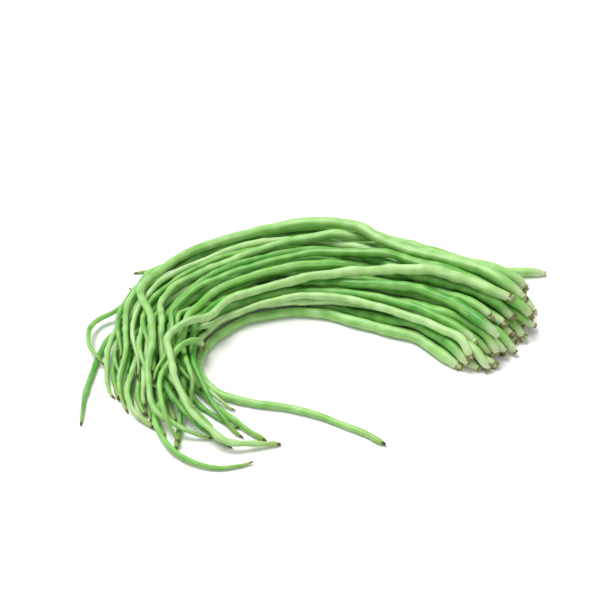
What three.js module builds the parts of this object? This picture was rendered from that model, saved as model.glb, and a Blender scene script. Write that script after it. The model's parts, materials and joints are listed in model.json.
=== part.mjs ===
// A bunch of loose yardlong beans lying in a bent heap: every pod is one closed solid.
// Millimetres, +Z up, resting on z = 0.
import * as THREE from "three";
import { mergeVertices } from "three/addons/utils/BufferGeometryUtils.js";

// Driving dimensions of one pod
const POD_RADIUS = 4.05;
const RADIUS_SPREAD = 0.07;
const SEED_SWELL = 0.035;
const WANDER = 1.3;
const SHORTEST_WAVE = 76;
const LONGEST_WAVE = 133;

// Rings along a pod: one every STATION_STEP, more where it bends, and the profile's own at its ends
const SIDES = 8;
const STATION_STEP = 22.2;
const BEND_DENSITY = 52;
const TIP_RINGS_WITHIN = 42;
const CURVE_SAMPLES = 240;
const WELD_DISTANCE = 1e-4;

// Radius along a pod as a share of its full radius, by distance from the stalk end and from the tip
const STALK_PROFILE = [[0, 0.52], [3.5, 0.5], [6, 0.8], [12, 1]];
const POINTED_TIP = [
  [0, 0.2], [5, 0.36], [18, 0.52], [42, 0.65], [90, 0.74], [160, 0.81], [260, 0.92], [330, 1],
];
const BLUNT_TIP = [
  [0, 0.38], [4, 0.57], [14, 0.66], [36, 0.72], [90, 0.78], [160, 0.84], [260, 0.93], [330, 1],
];
const BLUNT_SHARE = 0.35;

// Sections across the heap, from the cut stalks round to below the fold, each drawn in plan from
// its inner or front edge (lane 0) to its outer or back edge (lane 1)
const SECTIONS = [
  { inner: [111, -71], outer: [172, -8] },
  { inner: [86, -43], outer: [84, 58] },
  { inner: [8, -18], outer: [14, 80] },
  { inner: [-46, -26], outer: [-81, 48] },
  { inner: [-70, -54], outer: [-115, 1] },
];

// Each pod in the order of laying: its lane in each section, how far its stalk reaches past the
// first section, and the plan points that its free end follows. Where the cut end has plan points
// of its own, they take the place of the first section
const LOWEST_PODS = [
  { lanes: [1.04, 0.98, 0.97, 0.93], stalk: [[185, 27], [140, 27]],
    tail: [[-100, 32], [-126, 30]] },
  { lanes: [0.02, 0, 0, 0, 0.05], reach: 4, blunt: true,
    tail: [[-76, -74], [-67, -93], [-48, -105], [-20, -110], [7, -116], [30, -129], [55, -146]] },
  { lanes: [0.92, 0.9, 0.94, 0.88, 0.9], reach: 6, blunt: false,
    tail: [[-122, -36], [-137, -61], [-146, -91], [-146, -129]] },
  { lanes: [0.1, 0.09, 0.09, 0.1, 0.12], reach: 14,
    tail: [[-77, -85], [-63, -104], [-48, -121], [-34, -134], [-22, -141]] },
  { lanes: [0.19, 0.18, 0.18, 0.2, 0.24], reach: 22,
    tail: [[-88, -82], [-80, -102], [-68, -118], [-56, -133]] },
  { lanes: [0.28, 0.27, 0.28, 0.31, 0.36], reach: 12,
    tail: [[-98, -80], [-94, -104], [-92, -124], [-88, -140]] },
  { lanes: [0.37, 0.36, 0.38, 0.42, 0.5], reach: 18,
    tail: [[-106, -76], [-110, -100], [-104, -122]] },
  { lanes: [0.46, 0.45, 0.48, 0.53, 0.6], reach: 10,
    tail: [[-112, -66], [-118, -90], [-112, -114]] },
  { lanes: [0.55, 0.54, 0.58, 0.63, 0.7], reach: 16,
    tail: [[-126, -18], [-143, -26], [-150, -42], [-144, -60], [-131, -73]] },
  { lanes: [0.64, 0.63, 0.69, 0.72, 0.8], reach: 8,
    tail: [[-117, -52], [-121, -78], [-119, -106]] },
  { lanes: [0.73, 0.72, 0.8, 0.82, 0.88], reach: 2,
    tail: [[-123, -30], [-131, -51], [-134, -72], [-129, -104]] },
  { lanes: [0.82, 0.81, 0.84, 0.72], reach: -4, tail: [[-94, 4], [-111, -3], [-130, 12]] },
];
const MIDDLE_PODS = [
  { lanes: [0.06, 0.05, 0.13, 0.15, 0.17], reach: 8,
    tail: [[-84, -76], [-70, -100], [-52, -120], [-38, -129]] },
  { lanes: [0.24, 0.23, 0.23, 0.26, 0.3], reach: 16, tail: [[-96, -86], [-92, -108], [-80, -128]] },
  { lanes: [0.42, 0.41, 0.34, 0.37, 0.43], reach: 24,
    tail: [[-103, -82], [-103, -106], [-98, -128]] },
  { lanes: [0.51, 0.5, 0.44, 0.48, 0.57], reach: 14,
    tail: [[-110, -70], [-114, -98], [-106, -120], [-94, -131]] },
  { lanes: [0.6, 0.59, 0.54, 0.58, 0.66], reach: 20,
    tail: [[-116, -60], [-122, -84], [-116, -108]] },
  { lanes: [0.69, 0.68, 0.64, 0.68, 0.77], reach: 12,
    tail: [[-120, -44], [-124, -70], [-122, -92]] },
  { lanes: [0.78, 0.77, 0.76, 0.78, 0.84], reach: 4,
    tail: [[-122, -30], [-126, -62], [-120, -88]] },
  { lanes: [0.9, 0.86, 0.92, 0.9, 0.94], reach: 4, tail: [[-122, -24], [-127, -48], [-125, -74]] },
  { lanes: [0.15, 0.14, 0.08, 0.06, 0.08], reach: 20,
    tail: [[-78, -68], [-74, -90], [-60, -106], [-46, -115]] },
  { lanes: [0.33, 0.32, 0.26, 0.23, 0.27], reach: 20, tail: [[-88, -62], [-92, -86], [-86, -110]] },
  { lanes: [0.5, 0.5, 0.36, 0.3, 0.36], reach: 8,
    tail: [[-94, -58], [-98, -82], [-96, -106], [-90, -126]] },
  { lanes: [0.8, 0.8, 0.86, 0.86, 0.95], reach: 2,
    tail: [[-122, -31], [-120, -60], [-118, -84], [-119, -104], [-116, -118]] },
];
const UPPER_PODS = [
  { lanes: [0.16, 0.14, 0.11, 0.08, 0.1], reach: 3, blunt: true,
    tail: [[-81, -72], [-80, -98], [-83, -128], [-84, -152]] },
  { lanes: [0.04, 0.07, 0.05, 0.04], reach: 9, blunt: true,
    tail: [[-66, -34], [-80, -32], [-93, -38], [-106, -48], [-117, -56]] },
  { lanes: [0.22, 0.2, 0.2, 0.14, 0.2], stalk: [[138, -70], [122, -48]],
    tail: [[-84, -72], [-76, -92], [-62, -106]] },
  { lanes: [0.44, 0.28, 0.34, 0.15], reach: 0,
    tail: [[-71, -32], [-81, -40], [-83, -56], [-82, -76], [-80, -101], [-73, -120]] },
  { lanes: [0.34, 0.2, 0.3, 0.28, 0.31], reach: 4,
    tail: [[-88, -48], [-89, -71], [-90, -97], [-89, -120]] },
  { lanes: [0.28, 0.24, 0.16, 0.14, 0.16], reach: 14,
    tail: [[-80, -66], [-75, -90], [-64, -109], [-48, -128], [-38, -138]] },
  { lanes: [0.8, 0.62, 0.52, 0.46, 0.6], reach: 8, tail: [[-104, -71], [-106, -94], [-105, -115]] },
  { lanes: [0.5, 0.38, 0.3, 0.21], stalk: [[172, -31], [144, -29]],
    tail: [[-75, -40], [-85, -66], [-98, -92], [-103, -116], [-96, -140], [-76, -158],
      [-54, -164], [-31, -161]] },
  { lanes: [0.62, 0.42, 0.44, 0.45, 0.52], reach: 8,
    tail: [[-98, -40], [-95, -66], [-90, -92], [-81, -116], [-66, -132], [-42, -147]] },
  { lanes: [0.84, 0.7, 0.68, 0.6, 0.66], reach: 4,
    tail: [[-108, -42], [-109, -64], [-97, -84], [-90, -104]] },
  { lanes: [0.74, 0.58, 0.6, 0.62, 0.72], reach: 12,
    tail: [[-107, -30], [-107, -50], [-103, -72], [-100, -96]] },
  { lanes: [0.7, 0.54, 0.66, 0.7, 0.8], reach: 2, tail: [[-114, -34], [-113, -64], [-112, -90]] },
  { lanes: [0.84, 0.66, 0.58, 0.48, 0.6], reach: 2,
    tail: [[-101, -38], [-98, -56], [-91, -79], [-84, -104], [-62, -130]] },
  { lanes: [0.66, 0.48, 0.37, 0.29], reach: 18,
    tail: [[-75, -19], [-85, -35], [-88, -54], [-90, -78], [-98, -104]] },
  { lanes: [0.72, 0.5, 0.74, 0.82, 0.87], reach: 6,
    tail: [[-114, -19], [-110, -38], [-104, -60], [-102, -84], [-100, -108], [-88, -130], [-72, -138],
      [-56, -141]] },
  { lanes: [], stalk: [[-67, -61], [-80, -65]],
    tail: [[-90, -72], [-98, -88], [-101, -107], [-95, -128], [-80, -146]] },
  { lanes: [0.62, 0.38, 0.15, 0.09], reach: 3, blunt: true,
    tail: [[-66, -44], [-80, -54], [-91, -67], [-92, -84], [-86, -104], [-75, -124],
      [-50, -146], [-12, -145]] },
];

// How the heap settles: steps of falling, how firmly a pod keeps to its plan, how stiff it is, how
// far behind its cut end it is stiffest, the share of the fall that the cut end takes at least, and
// how far a pod sags between what it lies on
const SETTLE_STEPS = 420;
const FINISH_STEPS = 160;
const FALL_PER_STEP = 0.3;
const PLAN_HOLD = 0.035;
const STIFFNESS = 0.35;
const STIFF_REACH = 60;
const STALK_FALL = 0.5;
const GENTLEST_FALL = 0.15;
const SAG = 1.2;
const SAG_PASSES = 6;
const CLEARANCE = 0.14;
const LEAST_GAP = 0.05;
const NEARBY = 7;
const OWN_NEIGHBOURS = 5;
const REFRESH_STEPS = 8;
const SEED = 7;

// A facet of the eight-sided section faces down, so a pod on the surface rests this share of its
// radius above it
const FLAT_SHARE = Math.cos(Math.PI / SIDES);

const PALE = { color: 0xa9c96e, roughness: 0.45 };
const GREEN = { color: 0x86b654, roughness: 0.45 };
const DEEP = { color: 0x5e9a41, roughness: 0.45 };
const SHADES = [PALE, GREEN, DEEP, GREEN, DEEP];

const UP = new THREE.Vector3(0, 0, 1);

function randomSource(seed) {
  let state = seed;
  return () => {
    state = (Math.imul(state, 1664525) + 1013904223) >>> 0;
    return state / 4294967296;
  };
}

function sectionPoint(section, lane) {
  const { inner, outer } = SECTIONS[section];
  return new THREE.Vector3(
    THREE.MathUtils.lerp(inner[0], outer[0], lane),
    THREE.MathUtils.lerp(inner[1], outer[1], lane),
    0,
  );
}

function planPoint([x, y]) {
  return new THREE.Vector3(x, y, 0);
}

// The smooth plan curve of one pod, from its stalk to its tip
function planCurve(row) {
  const crossings = row.lanes.map((lane, section) => sectionPoint(section, lane));
  let start = [];
  if (row.stalk) {
    start = row.stalk.map(planPoint);
    crossings.shift();
  } else {
    const heading = crossings[0].clone().sub(crossings[1]).normalize();
    crossings[0].addScaledVector(heading, row.reach);
  }
  const points = [...start, ...crossings, ...row.tail.map(planPoint)];
  return new THREE.CatmullRomCurve3(points, false, "centripetal");
}

// Distances along a pod at which it has a ring: close together in bends and at both ends
function stationDistances(curve, length, tipProfile) {
  const weight = [0];
  let before = curve.getTangentAt(0);
  for (let i = 1; i <= CURVE_SAMPLES; i += 1) {
    const tangent = curve.getTangentAt(i / CURVE_SAMPLES);
    weight.push(weight[i - 1] + length / CURVE_SAMPLES + BEND_DENSITY * before.angleTo(tangent));
    before = tangent;
  }
  const firstFree = STALK_PROFILE.at(-1)[0];
  const lastFree = length - TIP_RINGS_WITHIN;
  const count = Math.round(weight[CURVE_SAMPLES] / STATION_STEP);
  const distances = STALK_PROFILE.map(([distance]) => distance);
  let sample = 0;
  for (let k = 1; k < count; k += 1) {
    const wanted = (weight[CURVE_SAMPLES] * k) / count;
    while (weight[sample] < wanted) sample += 1;
    const distance = (length * sample) / CURVE_SAMPLES;
    const clearOfStalk = distance > firstFree + STATION_STEP / 2;
    const clearOfTip = distance < lastFree - STATION_STEP / 2;
    if (clearOfStalk && clearOfTip) distances.push(distance);
  }
  const tip = tipProfile.filter(([distance]) => distance <= TIP_RINGS_WITHIN);
  return [...distances, ...tip.reverse().map(([distance]) => length - distance)];
}

function shareAt(profile, distance) {
  for (let i = 1; i < profile.length; i += 1) {
    const [from, low] = profile[i - 1];
    const [to, high] = profile[i];
    if (distance <= to) return THREE.MathUtils.mapLinear(distance, from, to, low, high);
  }
  return 1;
}

function layOutPod(row, random) {
  const curve = planCurve(row);
  const length = curve.getLength();
  const fullRadius = POD_RADIUS * (1 + RADIUS_SPREAD * (random() * 2 - 1));
  const chance = random();
  const blunt = row.blunt ?? chance < BLUNT_SHARE;
  const tipProfile = blunt ? BLUNT_TIP : POINTED_TIP;
  const distances = stationDistances(curve, length, tipProfile);
  const phase = random() * 2 * Math.PI;
  const wave = THREE.MathUtils.lerp(SHORTEST_WAVE, LONGEST_WAVE, random());
  const plan = distances.map((distance) => {
    const share = Math.min(1, distance / length);
    const tangent = curve.getTangentAt(share);
    const aside = WANDER * Math.sin(phase + (2 * Math.PI * distance) / wave);
    return curve.getPointAt(share).add(new THREE.Vector3(-tangent.y, tangent.x, 0).multiplyScalar(aside));
  });
  const radii = distances.map((distance) => {
    const share = Math.min(shareAt(STALK_PROFILE, distance), shareAt(tipProfile, length - distance));
    return fullRadius * share * (1 + SEED_SWELL * (random() * 2 - 1));
  });
  const spans = plan.slice(1).map((point, i) => point.distanceTo(plan[i]));
  return { distances, plan, radii, spans, nodes: plan.map((point) => point.clone()) };
}

// Nearest points of two straight stretches, as shares along each
function nearestShares(a, b, c, d) {
  const u = b.clone().sub(a);
  const v = d.clone().sub(c);
  const w = a.clone().sub(c);
  const uu = u.dot(u);
  const vv = v.dot(v);
  const uv = u.dot(v);
  const uw = u.dot(w);
  const vw = v.dot(w);
  const scale = uu * vv - uv * uv;
  let s = scale > 1e-9 ? THREE.MathUtils.clamp((uv * vw - uw * vv) / scale, 0, 1) : 0.5;
  const t = THREE.MathUtils.clamp((uv * s + vw) / vv, 0, 1);
  s = THREE.MathUtils.clamp((uv * t - uw) / uu, 0, 1);
  return [s, t];
}

function allStretches(pods) {
  return pods.flatMap((pod, owner) => pod.spans.map((_, index) => ({ pod, owner, index })));
}

// Lays a pod on those already down: it rises over each of them and spans the dips between
function layOnHeap(pod, laid) {
  const below = allStretches(laid);
  const heights = pod.nodes.map((node, i) => {
    let height = pod.radii[i] * FLAT_SHARE;
    for (const { pod: other, index } of below) {
      const from = other.nodes[index];
      const to = other.nodes[index + 1];
      const along = new THREE.Vector2(to.x - from.x, to.y - from.y);
      const share = THREE.MathUtils.clamp(
        ((node.x - from.x) * along.x + (node.y - from.y) * along.y) / along.lengthSq(), 0, 1);
      const otherRadius = THREE.MathUtils.lerp(other.radii[index], other.radii[index + 1], share);
      const reach = pod.radii[i] + otherRadius + CLEARANCE;
      const gap = Math.hypot(node.x - from.x - along.x * share, node.y - from.y - along.y * share);
      if (gap < reach) {
        const beneath = THREE.MathUtils.lerp(from.z, to.z, share);
        height = Math.max(height, beneath + Math.sqrt(reach ** 2 - gap ** 2));
      }
    }
    return height;
  });
  for (let pass = 0; pass < SAG_PASSES; pass += 1) {
    for (let i = 1; i < heights.length - 1; i += 1) {
      heights[i] = Math.max(heights[i], (heights[i - 1] + heights[i + 1]) / 2 - SAG);
    }
  }
  pod.nodes.forEach((node, i) => node.setZ(heights[i]));
}

function nearPairs(stretches) {
  const ends = stretches.map(({ pod, index }) => [pod.nodes[index], pod.nodes[index + 1]]);
  const middles = ends.map(([from, to]) => from.clone().lerp(to, 0.5));
  const reaches = ends.map(([from, to]) => from.distanceTo(to) / 2 + POD_RADIUS);
  const pairs = [];
  for (let i = 0; i < stretches.length; i += 1) {
    for (let j = i + 1; j < stretches.length; j += 1) {
      const neighbours = stretches[i].owner === stretches[j].owner && j - i < OWN_NEIGHBOURS;
      if (!neighbours && middles[i].distanceTo(middles[j]) < reaches[i] + reaches[j] + NEARBY) {
        pairs.push([stretches[i], stretches[j]]);
      }
    }
  }
  return pairs;
}

// Gap between two stretches, less than nothing where they overlap, with the direction between them
function stretchGap(first, second) {
  const [a, b] = [first.pod.nodes[first.index], first.pod.nodes[first.index + 1]];
  const [c, d] = [second.pod.nodes[second.index], second.pod.nodes[second.index + 1]];
  const [s, t] = nearestShares(a, b, c, d);
  const apart = a.clone().lerp(b, s).sub(c.clone().lerp(d, t));
  const distance = apart.length();
  const radii = THREE.MathUtils.lerp(first.pod.radii[first.index], first.pod.radii[first.index + 1], s)
    + THREE.MathUtils.lerp(second.pod.radii[second.index], second.pod.radii[second.index + 1], t);
  return { gap: distance - radii, apart, distance, s, t };
}

function pushStretch({ pod, index }, share, push) {
  const weight = (1 - share) ** 2 + share ** 2;
  pod.nodes[index].addScaledVector(push, (1 - share) / weight);
  pod.nodes[index + 1].addScaledVector(push, share / weight);
}

function separate(pairs) {
  for (const [first, second] of pairs) {
    const { gap, apart, distance, s, t } = stretchGap(first, second);
    if (gap >= CLEARANCE) continue;
    const push = apart.multiplyScalar((CLEARANCE - gap) / (2 * Math.max(distance, 0.01)));
    pushStretch(first, s, push);
    pushStretch(second, t, push.negate());
  }
}

function keepLengths(pod) {
  pod.spans.forEach((span, i) => {
    const along = pod.nodes[i + 1].clone().sub(pod.nodes[i]);
    const change = along.multiplyScalar((along.length() - span) / (2 * along.length()));
    pod.nodes[i].add(change);
    pod.nodes[i + 1].sub(change);
  });
}

// Evens out how far each stretch has been moved from the plan, which keeps a pod free of kinks, and
// keeps its cut end in line
function stiffen(pod) {
  const moved = pod.nodes.map((node, i) => node.clone().sub(pod.plan[i]));
  for (let i = 1; i < moved.length - 1; i += 1) {
    const share = pod.spans[i - 1] / (pod.spans[i - 1] + pod.spans[i]);
    const even = moved[i - 1].clone().lerp(moved[i + 1], share);
    pod.nodes[i].addScaledVector(even.sub(moved[i]), STIFFNESS);
  }
  const beyond = pod.spans[0] / pod.spans[1];
  const straight = moved[1].clone().multiplyScalar(1 + beyond).addScaledVector(moved[2], -beyond);
  pod.nodes[0].addScaledVector(straight.sub(moved[0]), STIFFNESS);
}

// A pod is stiffest behind its stalk, so the cut end comes down more slowly than the rest
function fall(pod, drop) {
  pod.nodes.forEach((node, i) => {
    node.x += (pod.plan[i].x - node.x) * PLAN_HOLD;
    node.y += (pod.plan[i].y - node.y) * PLAN_HOLD;
    node.z -= drop * THREE.MathUtils.clamp(pod.distances[i] / STIFF_REACH, STALK_FALL, 1);
  });
}

function keepAboveSurface(pod) {
  pod.nodes.forEach((node, i) => {
    node.z = Math.max(node.z, pod.radii[i] * FLAT_SHARE);
  });
}

function settle(pods) {
  const stretches = allStretches(pods);
  let pairs = [];
  for (let step = 0; step < SETTLE_STEPS + FINISH_STEPS; step += 1) {
    if (step % REFRESH_STEPS === 0) pairs = nearPairs(stretches);
    if (step < SETTLE_STEPS) {
      const drop = FALL_PER_STEP * THREE.MathUtils.lerp(1, GENTLEST_FALL, step / SETTLE_STEPS);
      for (const pod of pods) {
        fall(pod, drop);
        keepLengths(pod);
        stiffen(pod);
      }
    }
    separate(pairs);
    pods.forEach(keepAboveSurface);
  }
  const least = Math.min(...nearPairs(stretches).map(([first, second]) => stretchGap(first, second).gap));
  if (least < LEAST_GAP) throw new Error(`pods are only ${least.toFixed(3)} mm apart`);
}

// A straight turned pod, bent along its settled line with one facet of each ring facing down. Each
// ring lies within a ball of its radius, so pods whose balls and spans are apart never touch
function podGeometry(pod) {
  const { distances, radii, nodes } = pod;
  const last = distances.length - 1;
  const profile = [
    new THREE.Vector2(0, 0),
    ...radii.map((radius, i) => new THREE.Vector2(radius, distances[i])),
    new THREE.Vector2(0, distances[last]),
  ];
  const turned = new THREE.LatheGeometry(profile, SIDES, Math.PI / SIDES);
  const position = turned.attributes.position;
  const vertex = new THREE.Vector3();
  for (let i = 0; i < position.count; i += 1) {
    const ring = THREE.MathUtils.clamp((i % profile.length) - 1, 0, last);
    const ahead = nodes[Math.min(ring + 1, last)].clone().sub(nodes[ring]).normalize();
    const behind = nodes[ring].clone().sub(nodes[Math.max(ring - 1, 0)]).normalize();
    const tangent = ahead.add(behind).normalize();
    const side = tangent.clone().cross(UP).normalize();
    const up = side.clone().cross(tangent);
    vertex.fromBufferAttribute(position, i);
    const bent = nodes[ring].clone().addScaledVector(side, vertex.x).addScaledVector(up, vertex.z);
    position.setXYZ(i, bent.x, bent.y, bent.z);
  }
  turned.deleteAttribute("normal");
  turned.deleteAttribute("uv");
  const solid = mergeVertices(turned, WELD_DISTANCE);
  const corners = solid.index.array;
  const kept = [];
  for (let i = 0; i < corners.length; i += 3) {
    const [a, b, c] = corners.slice(i, i + 3);
    if (a !== b && b !== c && c !== a) kept.push(a, b, c);
  }
  solid.setIndex(kept);
  solid.computeVertexNormals();
  return solid;
}

const random = randomSource(SEED);
const rows = [...LOWEST_PODS, ...MIDDLE_PODS, ...UPPER_PODS];
const pods = rows.map((row) => layOutPod(row, random));
pods.forEach((pod, i) => layOnHeap(pod, pods.slice(0, i)));
settle(pods);

const heap = new THREE.Group();
pods.forEach((pod, i) => {
  const material = new THREE.MeshStandardMaterial({ ...SHADES[i % SHADES.length], metalness: 0 });
  const mesh = new THREE.Mesh(podGeometry(pod), material);
  mesh.name = `pod_${String(i + 1).padStart(2, "0")}`;
  heap.add(mesh);
});

// The origin is the middle of the heap's underside
const bounds = new THREE.Box3().setFromObject(heap);
const middle = bounds.getCenter(new THREE.Vector3());
heap.position.set(-middle.x, -middle.y, -bounds.min.z);

const group = new THREE.Group();
group.add(heap);
export default group;
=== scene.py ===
"""A loose bunch of yardlong beans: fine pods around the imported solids, on a plain stage.

Laid out as an add-on and run as a script. Everything is in metres, +Z up.
"""

import json
import math

import bmesh
import bpy
import numpy as np
from bpy.props import FloatProperty, FloatVectorProperty, IntProperty, PointerProperty
from bpy.types import Operator, Panel, PropertyGroup
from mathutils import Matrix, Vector


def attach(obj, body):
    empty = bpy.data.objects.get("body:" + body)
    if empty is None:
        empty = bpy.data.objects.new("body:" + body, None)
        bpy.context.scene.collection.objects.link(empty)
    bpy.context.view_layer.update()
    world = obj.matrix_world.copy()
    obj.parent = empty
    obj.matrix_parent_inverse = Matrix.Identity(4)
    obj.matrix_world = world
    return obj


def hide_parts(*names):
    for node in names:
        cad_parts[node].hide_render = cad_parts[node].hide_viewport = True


bl_info = {
    "name": "Yardlong Bean Bunch",
    "version": (1, 0, 0),
    "blender": (4, 5, 0),
    "location": "View3D > Sidebar > Beans",
    "description": "Makes a loose heap of fine yardlong bean pods and its stage",
    "category": "Object",
}

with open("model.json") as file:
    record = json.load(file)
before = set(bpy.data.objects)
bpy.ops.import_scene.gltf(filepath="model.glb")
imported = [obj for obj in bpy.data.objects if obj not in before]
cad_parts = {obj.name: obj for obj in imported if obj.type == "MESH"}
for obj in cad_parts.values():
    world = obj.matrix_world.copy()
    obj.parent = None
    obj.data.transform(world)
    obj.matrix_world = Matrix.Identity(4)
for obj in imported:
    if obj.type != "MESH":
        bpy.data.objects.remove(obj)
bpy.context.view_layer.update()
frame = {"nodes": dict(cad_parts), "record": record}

MM = 0.001

# Corners of a solid pod closer than this are one corner
WELD = 0.01 * MM

# Rings of the cut face, from the sunken pith out to the rim: distance from the cut in mm, and
# share of the pod's radius
CUT_FACE = ((0.45, 0.12), (0.38, 0.28), (0.15, 0.44), (0.0, 0.56))

# Below the rim: the stub of the stalk, the neck and the shoulder, by distance from the cut in mm
STALK = (
    (0.25, 0.64),
    (1.0, 0.67),
    (2.2, 0.62),
    (3.3, 0.7),
    (4.6, 0.86),
    (6.5, 0.96),
    (9.0, 1.0),
)

# The dried style on the tip and the beak behind it, by distance from the end in mm, as a share of
# the radius where the beak begins
TIP = (
    (0.0, 0.26),
    (0.15, 0.42),
    (0.7, 0.52),
    (1.5, 0.54),
    (2.3, 0.66),
    (3.4, 0.82),
    (5.2, 0.94),
    (8.0, 1.0),
)
STALK_RINGS = 30
TIP_RINGS = 22

# Shrivelled calyx: where it grows, from the cut, and how thick its lobes are
CALYX_PLACE = 3.2 * MM
CALYX_THICKNESS = 0.3 * MM

# The middle line is sampled this finely, then eased so that no kink of the solid is left
LINE_STEP = 1.0 * MM
LINE_EASE = 20

# Wave lengths along a pod: of its wander to the side and upwards, of its thickness, of the small
# unevenness round it, and of the side on which the seeds swell it most
SIDEWAYS_WAVES = (31 * MM, 58 * MM)
UPWARD_WAVES = (27 * MM, 49 * MM)
THICKNESS_WAVES = (23 * MM, 41 * MM, 67 * MM, 103 * MM)
UNEVEN_WAVES = (29 * MM, 53 * MM)
LEANING_WAVES = (34 * MM, 47 * MM)

# Seeds: how far each lies off its even place and how wide it swells, in spacings, and its size
SEED_JITTER = 0.22
SEED_WIDTHS = (0.26, 0.36)
SEED_SIZES = (0.35, 1.0)

# Lumps over the seeds: how strong on each pod, at the stalk and how much more at the tip, the
# swelling that leaves a pod at its own thickness, the shares that go all round, to the two
# broad sides and to one side, and how far that side wanders round the pod, in radians
LUMPINESS = (0.4, 1.2)
LUMPS_AT_STALK = 0.55
MORE_LUMPS_AT_TIP = 1.1
LEVEL_SWELLING = 0.4
LUMPS_ALL_ROUND = 0.75
LUMPS_BROAD = 0.25
LUMPS_ONE_SIDE = 0.7
SIDE_WANDER = 2.4

# Further changes of the skin, as shares of the radius, and how many waves the unevenness has round
# a pod
SLOW_CHANGE = 0.06
RIDGE_HEIGHT = 0.035
GROOVE_DEPTH = 0.045
UNEVENNESS = 0.013
UNEVEN_SIDES = (3, 4, 6)

# Widths of the ridge, the groove and the pale seams on both, in radians round a pod
RIDGE_WIDTH = 0.24
GROOVE_WIDTH = 0.13
SEAM_WIDTH = 0.2

# Ends of a pod: the length that hardly wanders, where its body begins and how it fades in and
# out, how long the hooked tip is and how far it hooks
STEADY_END = 20 * MM
BODY_START = 8 * MM
BODY_FADE = 20 * MM
TIP_FADE = 12 * MM
HOOK_LENGTH = 9 * MM
MOST_HOOK = 1.6 * MM

# Torn rim of the cut: its depth along the pod, and its teeth as (number, share of the radius)
TORN_DEPTH = 1.6 * MM
TORN_TEETH = ((5, 0.1), (8, 0.07))

# Lobes of the calyx: how many, how far each is off its even place, lean in radians, and in mm
# their length, half width, curl and shift along the stalk. They start this share of the pod's
# radius from its middle
FEWEST_LOBES = 4
MOST_LOBES = 6
LOBE_JITTER = 0.4
LOBE_LEANS = (0.0, 0.8)
LOBE_LENGTHS = (1.5, 4.4)
LOBE_HALF_WIDTHS = (0.8, 1.9)
LOBE_CURLS = (-0.8, 0.9)
LOBE_SHIFTS = (-0.7, 0.9)
LOBE_START = 0.64

# Dried tissue, in mm: the tip that is dried through, how it fades, and the longest dried rim
DRIED_TIP = 1.5
DRIED_FADE = 2.4
DRIED_RIM = 3.6

# How far apart in mm the pods lie in the patterns, so that no two look the same
PATTERN_SHIFT = 60

# Sizes in mm of the patterns on the skin: streaks and patches in three directions, the last one
# along the pod, then rub marks, crumbs of dried tissue and pores
STREAK_SIZE = (1.4, 1.4, 45)
PATCH_SIZE = (6, 6, 12)
RUB_SIZE = 3
CRUMB_SIZE = 0.9
PORE_SIZE = 0.6

# Colours that all the skins share
SEAM_COLOUR = "#b9dc8c"
STALK_COLOUR = "#d0dcae"
YELLOWED_COLOUR = "#8fa04a"
RUBBED_COLOUR = "#8a8a45"
DRIED_COLOURS = ("#362c18", "#98844f")
BLACKENED_COLOUR = "#2b2f22"
PITH_COLOURS = ("#8e7c4e", "#efeccb")

# Each slot's skin: its name, and the colours in the settings that it takes
SKINS = {
    "pod_green": ("waxy green bean skin", "green"),
    "pod_deep": ("waxy deep green bean skin", "deep"),
    "pod_pale": ("waxy pale bean skin", "pale"),
}

# Where the lamps stand from the point that the camera looks at, how wide the softbox is, and how
# matt the floor's paint is
KEY_PLACE = (-0.4, 0.3, 1.1)
FILL_PLACE = (0.7, -0.8, 0.7)
FILL_WIDTH = 0.8
PAINT_ROUGHNESS = 0.9


def linear(code):
    """Linear colour, with full alpha, of an sRGB hex value such as #7fbf50."""
    shares = [int(code[i : i + 2], 16) / 255 for i in (1, 3, 5)]
    return [s / 12.92 if s <= 0.04045 else ((s + 0.055) / 1.055) ** 2.4 for s in shares] + [1.0]


def add_node(tree, kind, inputs=None, **settings):
    """Adds a node, sets it up, and gives each input a value or a link from another's output."""
    node = tree.nodes.new(kind)
    for name, value in settings.items():
        setattr(node, name, value)
    for key, value in (inputs or {}).items():
        if isinstance(value, bpy.types.NodeSocket):
            tree.links.new(value, node.inputs[key])
        else:
            node.inputs[key].default_value = value
    return node


def stretched(tree, place, size):
    """Texture place where one unit is the given size in each direction."""
    scale = tuple(1 / side for side in size)
    return add_node(tree, "ShaderNodeMapping", {"Vector": place, "Scale": scale}).outputs["Vector"]


def noise(tree, place, size, detail, roughness=0.5):
    """Noise with blobs of about the given size."""
    inputs = {"Vector": place, "Scale": 1 / size, "Detail": detail, "Roughness": roughness}
    return add_node(tree, "ShaderNodeTexNoise", inputs).outputs["Fac"]


def ramp(tree, value, span, ends, ease="LINEAR"):
    """Goes from one of the ends to the other while the value crosses the span."""
    inputs = {
        "Value": value,
        "From Min": span[0],
        "From Max": span[1],
        "To Min": ends[0],
        "To Max": ends[1],
    }
    return add_node(tree, "ShaderNodeMapRange", inputs, interpolation_type=ease).outputs["Result"]


def added(tree, value, factor, other):
    """The value times the factor, plus the other value."""
    inputs = {0: value, 1: factor, 2: other}
    return add_node(tree, "ShaderNodeMath", inputs, operation="MULTIPLY_ADD").outputs[0]


def covered(tree, share, below, above):
    """One colour covered by another to the given share."""
    inputs = {0: share, 6: below, 7: above}
    return add_node(tree, "ShaderNodeMix", inputs, data_type="RGBA").outputs[2]


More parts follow.
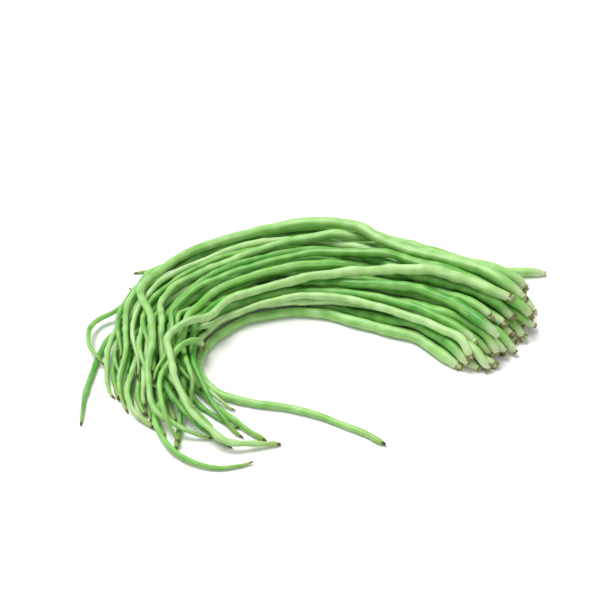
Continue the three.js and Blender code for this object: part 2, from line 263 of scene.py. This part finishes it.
def through(table, at):
    """Smooth curve through a table of (place, value) rows, read at the given places."""
    places = np.array([row[0] for row in table], float)
    values = np.array([row[1] for row in table], float).reshape(len(table), -1)
    spans = np.diff(places)
    slopes = np.diff(values, axis=0) / spans[:, None]
    before, after = spans[:-1, None], spans[1:, None]
    inner = (slopes[:-1] * after + slopes[1:] * before) / (before + after)
    tangents = np.vstack([slopes[:1], inner, slopes[-1:]])
    span = np.clip(np.searchsorted(places, at, side="right") - 1, 0, len(spans) - 1)
    width = spans[span][:, None]
    t = (np.clip(at, places[0], places[-1]) - places[span])[:, None] / width
    return (
        values[span] * (1 + 2 * t) * (1 - t) ** 2
        + tangents[span] * width * t * (1 - t) ** 2
        + values[span + 1] * t**2 * (3 - 2 * t)
        + tangents[span + 1] * width * t**2 * (t - 1)
    )


def solid_rings(node):
    """Middles and radii of the rings of a solid pod, from its stalk to its tip."""
    solid = bmesh.new()
    solid.from_mesh(node.data)
    bmesh.ops.remove_doubles(solid, verts=solid.verts, dist=WELD)
    solid.verts.index_update()
    pole = max(solid.verts, key=lambda v: (len(v.link_edges), v.index))
    ring, seen, middles, radii = [pole], {pole}, [], []
    while ring:
        reached = {e.other_vert(v) for v in ring for e in v.link_edges} - seen
        seen |= reached
        ring = sorted(reached, key=lambda v: v.index)
        if len(ring) > 1:
            corners = np.array([v.co for v in ring], float)
            middles.append(corners.mean(axis=0))
            radii.append(np.linalg.norm(corners - middles[-1], axis=1).mean())
    solid.free()
    if radii[0] < radii[-1]:
        middles.reverse()
        radii.reverse()
    return np.array(middles), np.array(radii)


def distances_along(points):
    """Distance of each point of a line from its first one, along the line."""
    return np.concatenate([[0.0], np.cumsum(np.linalg.norm(np.diff(points, axis=0), axis=1))])


def pod_line(node):
    """Eased middle line of a pod, sampled finely, with the distance and the radius at each sample."""
    middles, radii = solid_rings(node)
    knots = distances_along(middles)
    at = np.linspace(0, knots[-1], max(8, round(knots[-1] / LINE_STEP)))
    points = through(list(zip(knots, middles)), at)
    width = through(list(zip(knots, radii)), at)[:, 0]
    for _ in range(LINE_EASE):
        points[1:-1] = (points[:-2] + 2 * points[1:-1] + points[2:]) / 4
    return points, distances_along(points), width


def frames_along(points):
    """Direction of a line at each point, with two sideways directions that never spin round it."""
    forward = np.gradient(points, axis=0)
    forward /= np.linalg.norm(forward, axis=1)[:, None]
    upward = np.empty_like(forward)
    last = np.array([0.0, 0.0, 1.0])
    for i, ahead in enumerate(forward):
        last = last - ahead * last.dot(ahead)
        last /= np.linalg.norm(last)
        upward[i] = last
    return forward, upward, np.cross(upward, forward)


def ring_places(length, step):
    """Distance of each ring from the cut, and its share of the pod's radius at the two ends."""
    face = np.array(CUT_FACE)
    stalk = np.linspace(STALK[0][0], STALK[-1][0], STALK_RINGS)
    tip = np.linspace(TIP[-1][0], TIP[0][0], TIP_RINGS)
    first, last = stalk[-1] * MM, length - tip[0] * MM
    body = np.linspace(first, last, max(4, round((last - first) / step)))[1:-1]
    places = np.concatenate([face[:, 0] * MM, stalk * MM, body, length - tip * MM])
    shares = np.concatenate(
        [face[:, 1], through(STALK, stalk)[:, 0], np.ones(len(body)), through(TIP, tip)[:, 0]]
    )
    return places, shares


def seed_swelling(places, length, spacing, draw):
    """0 to 1 along a pod: how much it swells over the seeds inside it."""
    count = max(2, round(length / spacing))
    off = draw.uniform(-SEED_JITTER, SEED_JITTER, count)
    middles = (np.arange(count) + 0.5 + off) * length / count
    sizes = draw.uniform(*SEED_SIZES, count)
    widths = spacing * draw.uniform(*SEED_WIDTHS, count)
    return (sizes * np.exp(-(((places[:, None] - middles) / widths) ** 2))).max(axis=1)


def waves(places, lengths, draw):
    """A few sine waves of the given lengths with drawn phases, added up and kept within 1."""
    total = sum(np.sin(2 * math.pi * (places / long + draw.uniform())) for long in lengths)
    return total / len(lengths)


def near_angle(angles, middle, width):
    """1 on a line that runs along the pod at one angle, falling to 0 on both sides of it."""
    apart = (angles - middle + math.pi) % (2 * math.pi) - math.pi
    return np.exp(-((apart / width) ** 2))


def add_calyx(shell, line, draw, radius):
    """Shrivelled lobes of the flower's calyx, crumpled round the stub of the stalk."""
    points, distances, _ = line
    base = int(np.searchsorted(distances, CALYX_PLACE))
    middle = points[base]
    ahead, up, side = (rows[base] for rows in frames_along(points[: base + 2]))
    count = int(draw.integers(FEWEST_LOBES, MOST_LOBES + 1))
    off = draw.uniform(-LOBE_JITTER, LOBE_JITTER, count)
    for turn in (np.arange(count) + off) * 2 * math.pi / count:
        outward = math.cos(turn) * side + math.sin(turn) * up
        across = np.cross(ahead, outward)
        lean = draw.uniform(*LOBE_LEANS)
        reach = draw.uniform(*LOBE_LENGTHS) * MM
        half_width = draw.uniform(*LOBE_HALF_WIDTHS) * MM
        curl = draw.uniform(*LOBE_CURLS) * MM
        heading = -math.cos(lean) * ahead + math.sin(lean) * outward
        start = middle + outward * radius * LOBE_START
        start = start + ahead * draw.uniform(*LOBE_SHIFTS) * MM
        blade = bmesh.ops.create_grid(shell, x_segments=6, y_segments=8, size=1.0)["verts"]
        for vertex in blade:
            aside, share = vertex.co.x, (vertex.co.y + 1) / 2
            narrow = half_width * (1 - share) ** 0.45 * (1 + 0.2 * math.sin(9 * share + turn))
            wrap = -0.45 * MM * aside**2 * (1 - share)
            crumple = 0.22 * MM * share * math.sin(5 * aside + 7 * share + turn)
            place = start + heading * reach * share + across * aside * narrow
            place = place + outward * (curl * share**2 + wrap + crumple)
            vertex.co = Vector(place)
        faces = list(dict.fromkeys(face for vertex in blade for face in vertex.link_faces))
        bmesh.ops.solidify(shell, geom=faces, thickness=CALYX_THICKNESS)
    for vertex in shell.verts:
        vertex.co.z = max(vertex.co.z, 0)


def straight_tube(count, sides):
    """Straight tube with the given number of rings, one unit apart, closed at both ends."""
    shell = bmesh.new()
    bmesh.ops.create_cone(
        shell,
        cap_ends=True,
        cap_tris=True,
        segments=sides,
        radius1=1,
        radius2=1,
        depth=count - 1,
    )
    long_edges = [e for e in shell.edges if abs(e.verts[0].co.z - e.verts[1].co.z) > 0.5]
    bmesh.ops.subdivide_edges(shell, edges=long_edges, cuts=count - 2, use_grid_fill=True)
    return shell


def ring_frames(line, places, most, draw):
    """Middle of each ring, with a slight wander and a hooked tip, and two sideways directions."""
    points, distances, _ = line
    before_tip = distances[-1] - places
    middles, upward, sideways = (
        np.stack([np.interp(places, distances, rows[:, k]) for k in range(3)], axis=1)
        for rows in (points, *frames_along(points)[1:])
    )
    wander = most * (0.6 + 0.8 * draw.uniform())
    fade = np.clip(np.minimum(places, before_tip) / STEADY_END, 0, 1)
    middles += sideways * (wander * fade * waves(places, SIDEWAYS_WAVES, draw))[:, None]
    middles += upward * (0.5 * wander * fade * waves(places, UPWARD_WAVES, draw))[:, None]
    hook = np.clip(1 - before_tip / HOOK_LENGTH, 0, 1) ** 2
    hook = hook * draw.uniform(-MOST_HOOK, MOST_HOOK)
    middles += sideways * hook[:, None] + upward * np.abs(hook)[:, None] * 0.5
    return middles, upward, sideways


def pod_section(angle, ring, places, lumps, body, flatness, draw):
    """Distance of each corner from its ring's middle, as a share of the ring's radius.

    A section is broader across the seeds, and has a ridge and a groove where the halves meet.
    """
    ridge = near_angle(angle, math.pi / 2, RIDGE_WIDTH)
    groove = near_angle(angle, -math.pi / 2, GROOVE_WIDTH)
    broad = np.cos(2 * angle)
    uneven = sum(
        np.sin(k * angle + 2 * math.pi * draw.uniform() + waves(places, UNEVEN_WAVES, draw)[ring])
        for k in UNEVEN_SIDES
    )
    lean = 2 * math.pi * draw.uniform() + SIDE_WANDER * waves(places, LEANING_WAVES, draw)[ring]
    one_side = LUMPS_ONE_SIDE * np.cos(angle - lean)
    section = 1 + flatness * broad * body[ring]
    section += lumps[ring] * (LUMPS_ALL_ROUND + LUMPS_BROAD * broad + one_side)
    seams = RIDGE_HEIGHT * ridge - GROOVE_DEPTH * groove
    section += (seams + UNEVENNESS * uneven) * body[ring]
    torn = sum(deep * np.sin(teeth * angle + 6 * draw.uniform()) for teeth, deep in TORN_TEETH)
    section += torn * np.clip(1 - places[ring] / TORN_DEPTH, 0, 1)
    return section


def store_fields(mesh, fields, unrolled):
    """Stores what the skin reads: values for the tube, which comes first, and one for the calyx."""
    total, tube = len(mesh.vertices), len(unrolled)
    for field, (values, elsewhere) in fields.items():
        layer = mesh.attributes.new(field, "FLOAT", "POINT")
        filled = np.full(total, elsewhere, np.float32)
        filled[:tube] = values
        layer.data.foreach_set("value", filled)
    places_mm = np.empty((total, 3), np.float32)
    mesh.vertices.foreach_get("co", places_mm.ravel())
    places_mm /= MM
    places_mm[:tube] = unrolled
    layer = mesh.attributes.new("unrolled", "FLOAT_VECTOR", "POINT")
    layer.data.foreach_set("vector", places_mm.ravel())


def make_pod(name, node, settings, number):
    """One fine pod: a tube of rings bent along the middle line of its solid."""
    draw = np.random.default_rng(number)
    line = pod_line(node)
    _, distances, width = line
    length = distances[-1]
    places, shares = ring_places(length, settings.ring_step)

    shell = straight_tube(len(places), settings.sides)
    straight = np.array([v.co for v in shell.verts], float)
    ring = np.rint(straight[:, 2] + (len(places) - 1) / 2).astype(int)
    hub = np.hypot(straight[:, 0], straight[:, 1])
    angle = np.arctan2(straight[:, 1], straight[:, 0])
    angle = angle + settings.suture_gather * np.sin(2 * angle)
    middles, upward, sideways = ring_frames(line, places, settings.wander, draw)

    # Radius of each ring: the solid's, the shape of the two ends, the seeds and slow changes
    within = np.clip(places, STALK[-1][0] * MM, length - TIP[-1][0] * MM)
    radius = np.interp(within, distances, width) * shares * settings.fullness
    swelling = seed_swelling(places, length, settings.seed_spacing, draw)
    thinner = np.clip(1 - (length - places) / settings.slimming_reach, 0, 1)
    lumps = settings.seed_swell * draw.uniform(*LUMPINESS)
    lumps = lumps * (LUMPS_AT_STALK + MORE_LUMPS_AT_TIP * thinner)
    body = np.clip((places - BODY_START) / BODY_FADE, 0, 1)
    body = body * np.clip((length - places) / TIP_FADE, 0, 1)
    lumps = lumps * ((swelling - LEVEL_SWELLING) * body)
    slow = 1 + SLOW_CHANGE * body * waves(places, THICKNESS_WAVES, draw)
    radius = radius * slow * (1 - settings.slimming * thinner)

    section = pod_section(angle, ring, places, lumps, body, settings.flatness, draw)
    twist = 2 * math.pi * draw.uniform() + settings.twist * places * draw.uniform(-1, 1)
    turn = angle + twist[ring]
    reach = (hub * section * radius[ring])[:, None]
    bent = middles[ring] + reach * (
        np.cos(turn)[:, None] * sideways[ring] + np.sin(turn)[:, None] * upward[ring]
    )
    bent[:, 2] = np.maximum(bent[:, 2], 0)
    for vertex, place in zip(shell.verts, bent):
        vertex.co = Vector(place)

    if draw.uniform() < settings.calyx_share:
        add_calyx(shell, line, draw, width.max())
    bmesh.ops.recalc_face_normals(shell, faces=shell.faces)
    mesh = bpy.data.meshes.new(name)
    shell.to_mesh(mesh)
    shell.free()
    mesh.shade_smooth()

    # What the skin reads at each corner: (values on the tube, value on the calyx)
    from_stalk, to_tip = places[ring] / MM, (length - places[ring]) / MM
    dry_tip = np.clip(1 - (to_tip - DRIED_TIP) / DRIED_FADE, 0, 1)
    dry_rim = draw.uniform(0.5, 1.0) * np.clip(1 - from_stalk / DRIED_RIM, 0, 1)
    cut = (ring < len(CUT_FACE)).astype(float)
    seams = sum(near_angle(angle, middle, SEAM_WIDTH) for middle in (math.pi / 2, -math.pi / 2))
    fields = {
        "from_stalk": (from_stalk, 2.0),
        "to_tip": (to_tip, 400.0),
        "swelling": (swelling[ring] * body[ring], 0.0),
        "suture": (seams * body[ring], 0.0),
        "dry": (np.maximum(dry_tip, dry_rim), 1.0),
        "cut": (cut, 0.0),
        "tone": (np.full(len(ring), draw.uniform()), 0.5),
    }
    flat = np.stack([np.cos(angle), np.sin(angle)], axis=1)
    flat = flat * hub[:, None] * radius[ring][:, None] / MM
    unrolled = np.column_stack([flat[:, 0] + PATTERN_SHIFT * number, flat[:, 1], from_stalk])
    store_fields(mesh, fields, unrolled)

    pod = bpy.data.objects.new(name, mesh)
    bpy.context.scene.collection.objects.link(pod)
    return pod


def pod_skin(name, skin, patch, streak, settings):
    """Fresh waxy bean skin: a satin gloss over green that mottles, streaks and pales to the stalk."""
    material = bpy.data.materials.new(name)
    material.use_nodes = True
    tree = material.node_tree
    tree.nodes.clear()
    fields = {
        field: add_node(tree, "ShaderNodeAttribute", attribute_name=field).outputs["Fac"]
        for field in ("from_stalk", "to_tip", "swelling", "suture", "dry", "cut", "tone")
    }
    unrolled = add_node(tree, "ShaderNodeAttribute", attribute_name="unrolled").outputs["Vector"]

    # Darker streaks along the pod
    streaks = noise(tree, stretched(tree, unrolled, STREAK_SIZE), 1.0, 3.0, 0.6)
    colour = covered(tree, ramp(tree, streaks, (0.4, 0.7), (0.0, 0.8)), skin, streak)

    # Paler patches, mostly over the seeds, more on some pods than on others
    mottles = noise(tree, stretched(tree, unrolled, PATCH_SIZE), 1.0, 2.0)
    over_seeds = added(tree, fields["swelling"], 0.22, mottles)
    by_pod = added(tree, fields["tone"], 0.3, over_seeds)
    colour = covered(tree, ramp(tree, by_pod, (0.45, 1.0), (0.0, 0.9)), colour, patch)

    # The seam where the two halves of the pod meet is a thin paler line
    seam = ramp(tree, fields["suture"], (0.0, 1.0), (0.0, 0.35))
    colour = covered(tree, seam, colour, linear(SEAM_COLOUR))

    # The skin pales over the last 17 mm to the stalk, and yellows a little towards the tip
    paling = ramp(tree, fields["from_stalk"], (3.0, 17.0), (0.75, 0.0), "SMOOTHSTEP")
    colour = covered(tree, paling, colour, linear(STALK_COLOUR))
    yellowing = ramp(tree, fields["to_tip"], (3.0, 26.0), (0.45, 0.0), "SMOOTHSTEP")
    colour = covered(tree, yellowing, colour, linear(YELLOWED_COLOUR))

    # A few small brown rub marks
    rubs = noise(tree, unrolled, RUB_SIZE, 3.0, 0.65)
    rubbed = ramp(tree, rubs, (0.7, 0.8), (0.0, 0.5))
    colour = covered(tree, rubbed, colour, linear(RUBBED_COLOUR))

    # Dried tissue: brown on the rim of the cut and on the calyx, nearly black on the tip
    crumbs = noise(tree, unrolled, CRUMB_SIZE, 3.0, 0.7)
    ragged = added(tree, crumbs, 0.6, fields["dry"])
    dryness = ramp(tree, ragged, (0.62, 0.95), (0.0, 1.0), "SMOOTHSTEP")
    dried = covered(tree, crumbs, *map(linear, DRIED_COLOURS))
    blackened = ramp(tree, fields["to_tip"], (3.0, 6.0), (0.6, 0.0))
    dried = covered(tree, blackened, dried, linear(BLACKENED_COLOUR))
    colour = covered(tree, dryness, colour, dried)
    pith = covered(tree, crumbs, *map(linear, PITH_COLOURS))
    colour = covered(tree, fields["cut"], colour, pith)

    # Wax is satin where whole and duller in the mottles, and dried tissue is matt
    satin = ramp(tree, mottles, (0.3, 0.7), (0.36, 0.5))
    roughness = add_node(
        tree, "ShaderNodeMix", {0: dryness, 2: satin, 3: 0.85}, data_type="FLOAT"
    ).outputs[0]

    # Fine wrinkles along the pod, with pores
    relief = added(tree, noise(tree, unrolled, PORE_SIZE, 2.0), 0.35, streaks)
    bump = add_node(
        tree, "ShaderNodeBump", {"Strength": 0.7, "Distance": 0.35 * MM, "Height": relief}
    )
    surface = add_node(
        tree,
        "ShaderNodeBsdfPrincipled",
        {
            "Base Color": colour,
            "Roughness": roughness,
            "Normal": bump.outputs["Normal"],
            "IOR": 1.45,
            "Coat Weight": 0.15,
            "Coat Roughness": 0.5,
            "Subsurface Weight": 0.3,
            "Subsurface Radius": (0.6, 1.0, 0.3),
            "Subsurface Scale": settings.glow_depth,
        },
    )
    add_node(tree, "ShaderNodeOutputMaterial", {"Surface": surface.outputs["BSDF"]})
    return material


def colour_setting(name, description, code):
    """Colour that a user may change, with an sRGB hex value as its default."""
    return FloatVectorProperty(
        name=name, description=description, default=linear(code), size=4, subtype="COLOR"
    )


class BeanPodSettings(PropertyGroup):
    """Sizes and colours of the pods."""

    sides: IntProperty(
        name="Sides", description="Faces round a pod", default=28, min=12, max=64
    )
    ring_step: FloatProperty(
        name="Ring step",
        description="Distance between rings along a pod",
        default=1.6 * MM,
        precision=5,
        unit="LENGTH",
    )
    fullness: FloatProperty(
        name="Fullness", description="Thickness of a fine pod over its solid", default=0.9
    )
    slimming: FloatProperty(
        name="Slimming", description="How much slimmer a fine pod ends than its solid", default=0.24
    )
    slimming_reach: FloatProperty(
        name="Slimming reach",
        description="How far from the tip a pod begins to be slimmer",
        default=280 * MM,
        unit="LENGTH",
    )
    calyx_share: FloatProperty(
        name="Calyx share", description="Share of the pods that keep their dried calyx", default=0.6
    )
    seed_spacing: FloatProperty(
        name="Seed spacing",
        description="Distance between the seeds in a pod",
        default=12.5 * MM,
        precision=5,
        unit="LENGTH",
    )
    seed_swell: FloatProperty(
        name="Seed swelling", description="How far a seed swells the pod", default=0.21
    )
    flatness: FloatProperty(
        name="Flatness", description="How much broader a pod is across its seeds", default=0.04
    )
    suture_gather: FloatProperty(
        name="Faces at the seams", description="How closely faces gather at the seams", default=0.2
    )
    wander: FloatProperty(
        name="Wander",
        description="How far a pod wanders from its solid's middle line",
        default=0.6 * MM,
        precision=5,
        unit="LENGTH",
    )
    twist: FloatProperty(
        name="Twist", description="Most turn of the seams along a metre of pod", default=9.0
    )
    glow_depth: FloatProperty(
        name="Glow depth",
        description="How far light travels in the flesh",
        default=1.6 * MM,
        precision=5,
        unit="LENGTH",
    )
    green_skin: colour_setting("Green skin", "Skin of the green pods", "#76bb45")
    green_patch: colour_setting("Green patch", "Paler patches of the green pods", "#a8d287")
    green_streak: colour_setting("Green streak", "Darker streaks of the green pods", "#40972e")
    deep_skin: colour_setting("Deep skin", "Skin of the deeper green pods", "#55a638")
    deep_patch: colour_setting("Deep patch", "Paler patches of the deeper green pods", "#8fc665")
    deep_streak: colour_setting("Deep streak", "Darker streaks of the deeper green pods", "#2e8029")
    pale_skin: colour_setting("Pale skin", "Skin of the pale pods", "#9bcb74")
    pale_patch: colour_setting("Pale patch", "Paler patches of the pale pods", "#c0dda2")
    pale_streak: colour_setting("Pale streak", "Darker streaks of the pale pods", "#70b248")


class BeanStageSettings(PropertyGroup):
    """Floor, light and camera."""

    floor_width: FloatProperty(
        name="Floor width", description="Width of the floor", default=40.0, unit="LENGTH"
    )
    floor_colour: colour_setting("Floor colour", "Colour of the pale floor", "#f8f8f6")
    sky_strength: FloatProperty(
        name="Sky strength", description="Light from all round", default=0.46
    )
    key_strength: FloatProperty(
        name="Key strength", description="Strength of the high, wide main light", default=3.15
    )
    key_width: FloatProperty(
        name="Key width",
        description="How wide the main light looks from the heap",
        default=math.radians(34),
        subtype="ANGLE",
    )
    fill_power: FloatProperty(
        name="Fill power", description="Power of the fill softbox", default=1.6, unit="POWER"
    )
    lens: FloatProperty(
        name="Lens", description="Focal length of the camera in millimetres", default=85.0
    )
    distance: FloatProperty(
        name="Distance",
        description="Camera's distance from the point that it looks at",
        default=1.048,
        unit="LENGTH",
    )
    elevation: FloatProperty(
        name="Elevation",
        description="Camera's height above the horizon",
        default=math.radians(42),
        subtype="ANGLE",
    )
    looks_at: FloatVectorProperty(
        name="Looks at",
        description="Point on the floor that the camera looks at",
        default=(-0.01629, 0.04134, 0.0),
        subtype="XYZ",
        unit="LENGTH",
    )


class BEANS_OT_lay_pods(Operator):
    """Make a fine pod around each solid pod of the heap"""

    bl_idname = "beans.lay_pods"
    bl_label = "Lay the pods"

    def execute(self, context):
        settings = context.scene.bean_pods
        skins = {}
        for slot, (name, tint) in SKINS.items():
            colours = [getattr(settings, f"{tint}_{part}") for part in ("skin", "patch", "streak")]
            skins[slot] = pod_skin(name, *colours, settings)
        for number, part in enumerate(frame["record"]["subparts"], 1):
            node, slot = part["node"], part["material_slot"]
            pod = make_pod(f"bean_{node}", frame["nodes"][node], settings, number)
            pod.data.materials.append(skins[slot])
            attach(pod, "root")
            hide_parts(node)
        return {"FINISHED"}


class BEANS_OT_set_stage(Operator):
    """Make the pale floor, the soft light and the camera"""

    bl_idname = "beans.set_stage"
    bl_label = "Set the stage"

    def execute(self, context):
        settings = context.scene.bean_stage
        scene = context.scene

        sheet = bmesh.new()
        bmesh.ops.create_grid(sheet, x_segments=1, y_segments=1, size=settings.floor_width / 2)
        mesh = bpy.data.meshes.new("floor")
        sheet.to_mesh(mesh)
        sheet.free()
        floor = bpy.data.objects.new("floor", mesh)
        scene.collection.objects.link(floor)
        paint = bpy.data.materials.new("matt white paint")
        paint.use_nodes = True
        surface = paint.node_tree.nodes["Principled BSDF"]
        surface.inputs["Base Color"].default_value = settings.floor_colour
        surface.inputs["Roughness"].default_value = PAINT_ROUGHNESS
        mesh.materials.append(paint)

        sky = bpy.data.worlds.new("white studio")
        sky.use_nodes = True
        glow = sky.node_tree.nodes["Background"]
        glow.inputs["Color"].default_value = linear("#ffffff")
        glow.inputs["Strength"].default_value = settings.sky_strength
        scene.world = sky

        target = Vector(settings.looks_at)
        key = bpy.data.lights.new("key", "SUN")
        key.energy = settings.key_strength
        key.angle = settings.key_width
        fill = bpy.data.lights.new("fill softbox", "AREA")
        fill.shape = "SQUARE"
        fill.size = FILL_WIDTH
        fill.energy = settings.fill_power
        for lamp, place in ((key, KEY_PLACE), (fill, FILL_PLACE)):
            light = bpy.data.objects.new(lamp.name, lamp)
            light.location = target + Vector(place)
            light.rotation_euler = (-Vector(place)).to_track_quat("-Z", "Y").to_euler()
            scene.collection.objects.link(light)

        view = bpy.data.cameras.new("camera")
        view.lens = settings.lens
        camera = bpy.data.objects.new("camera", view)
        back = Vector((0, -math.cos(settings.elevation), math.sin(settings.elevation)))
        camera.location = target + back * settings.distance
        camera.rotation_euler = (-back).to_track_quat("-Z", "Y").to_euler()
        scene.collection.objects.link(camera)
        scene.camera = camera
        scene.view_settings.view_transform = "Standard"
        return {"FINISHED"}


class BEANS_PT_bunch(Panel):
    """Pods and stage of the bean bunch"""

    bl_label = "Bean bunch"
    bl_idname = "BEANS_PT_bunch"
    bl_space_type = "VIEW_3D"
    bl_region_type = "UI"
    bl_category = "Beans"

    def draw(self, context):
        for operator, settings in (
            (BEANS_OT_lay_pods, context.scene.bean_pods),
            (BEANS_OT_set_stage, context.scene.bean_stage),
        ):
            box = self.layout.box()
            box.operator(operator.bl_idname)
            for name in settings.__annotations__:
                box.prop(settings, name)


CLASSES = (
    BeanPodSettings,
    BeanStageSettings,
    BEANS_OT_lay_pods,
    BEANS_OT_set_stage,
    BEANS_PT_bunch,
)


def register():
    for item in CLASSES:
        bpy.utils.register_class(item)
    bpy.types.Scene.bean_pods = PointerProperty(type=BeanPodSettings)
    bpy.types.Scene.bean_stage = PointerProperty(type=BeanStageSettings)


def unregister():
    del bpy.types.Scene.bean_stage
    del bpy.types.Scene.bean_pods
    for item in reversed(CLASSES):
        bpy.utils.unregister_class(item)


def main():
    register()
    bpy.ops.beans.lay_pods()
    bpy.ops.beans.set_stage()


if __name__ == "__main__":
    main()
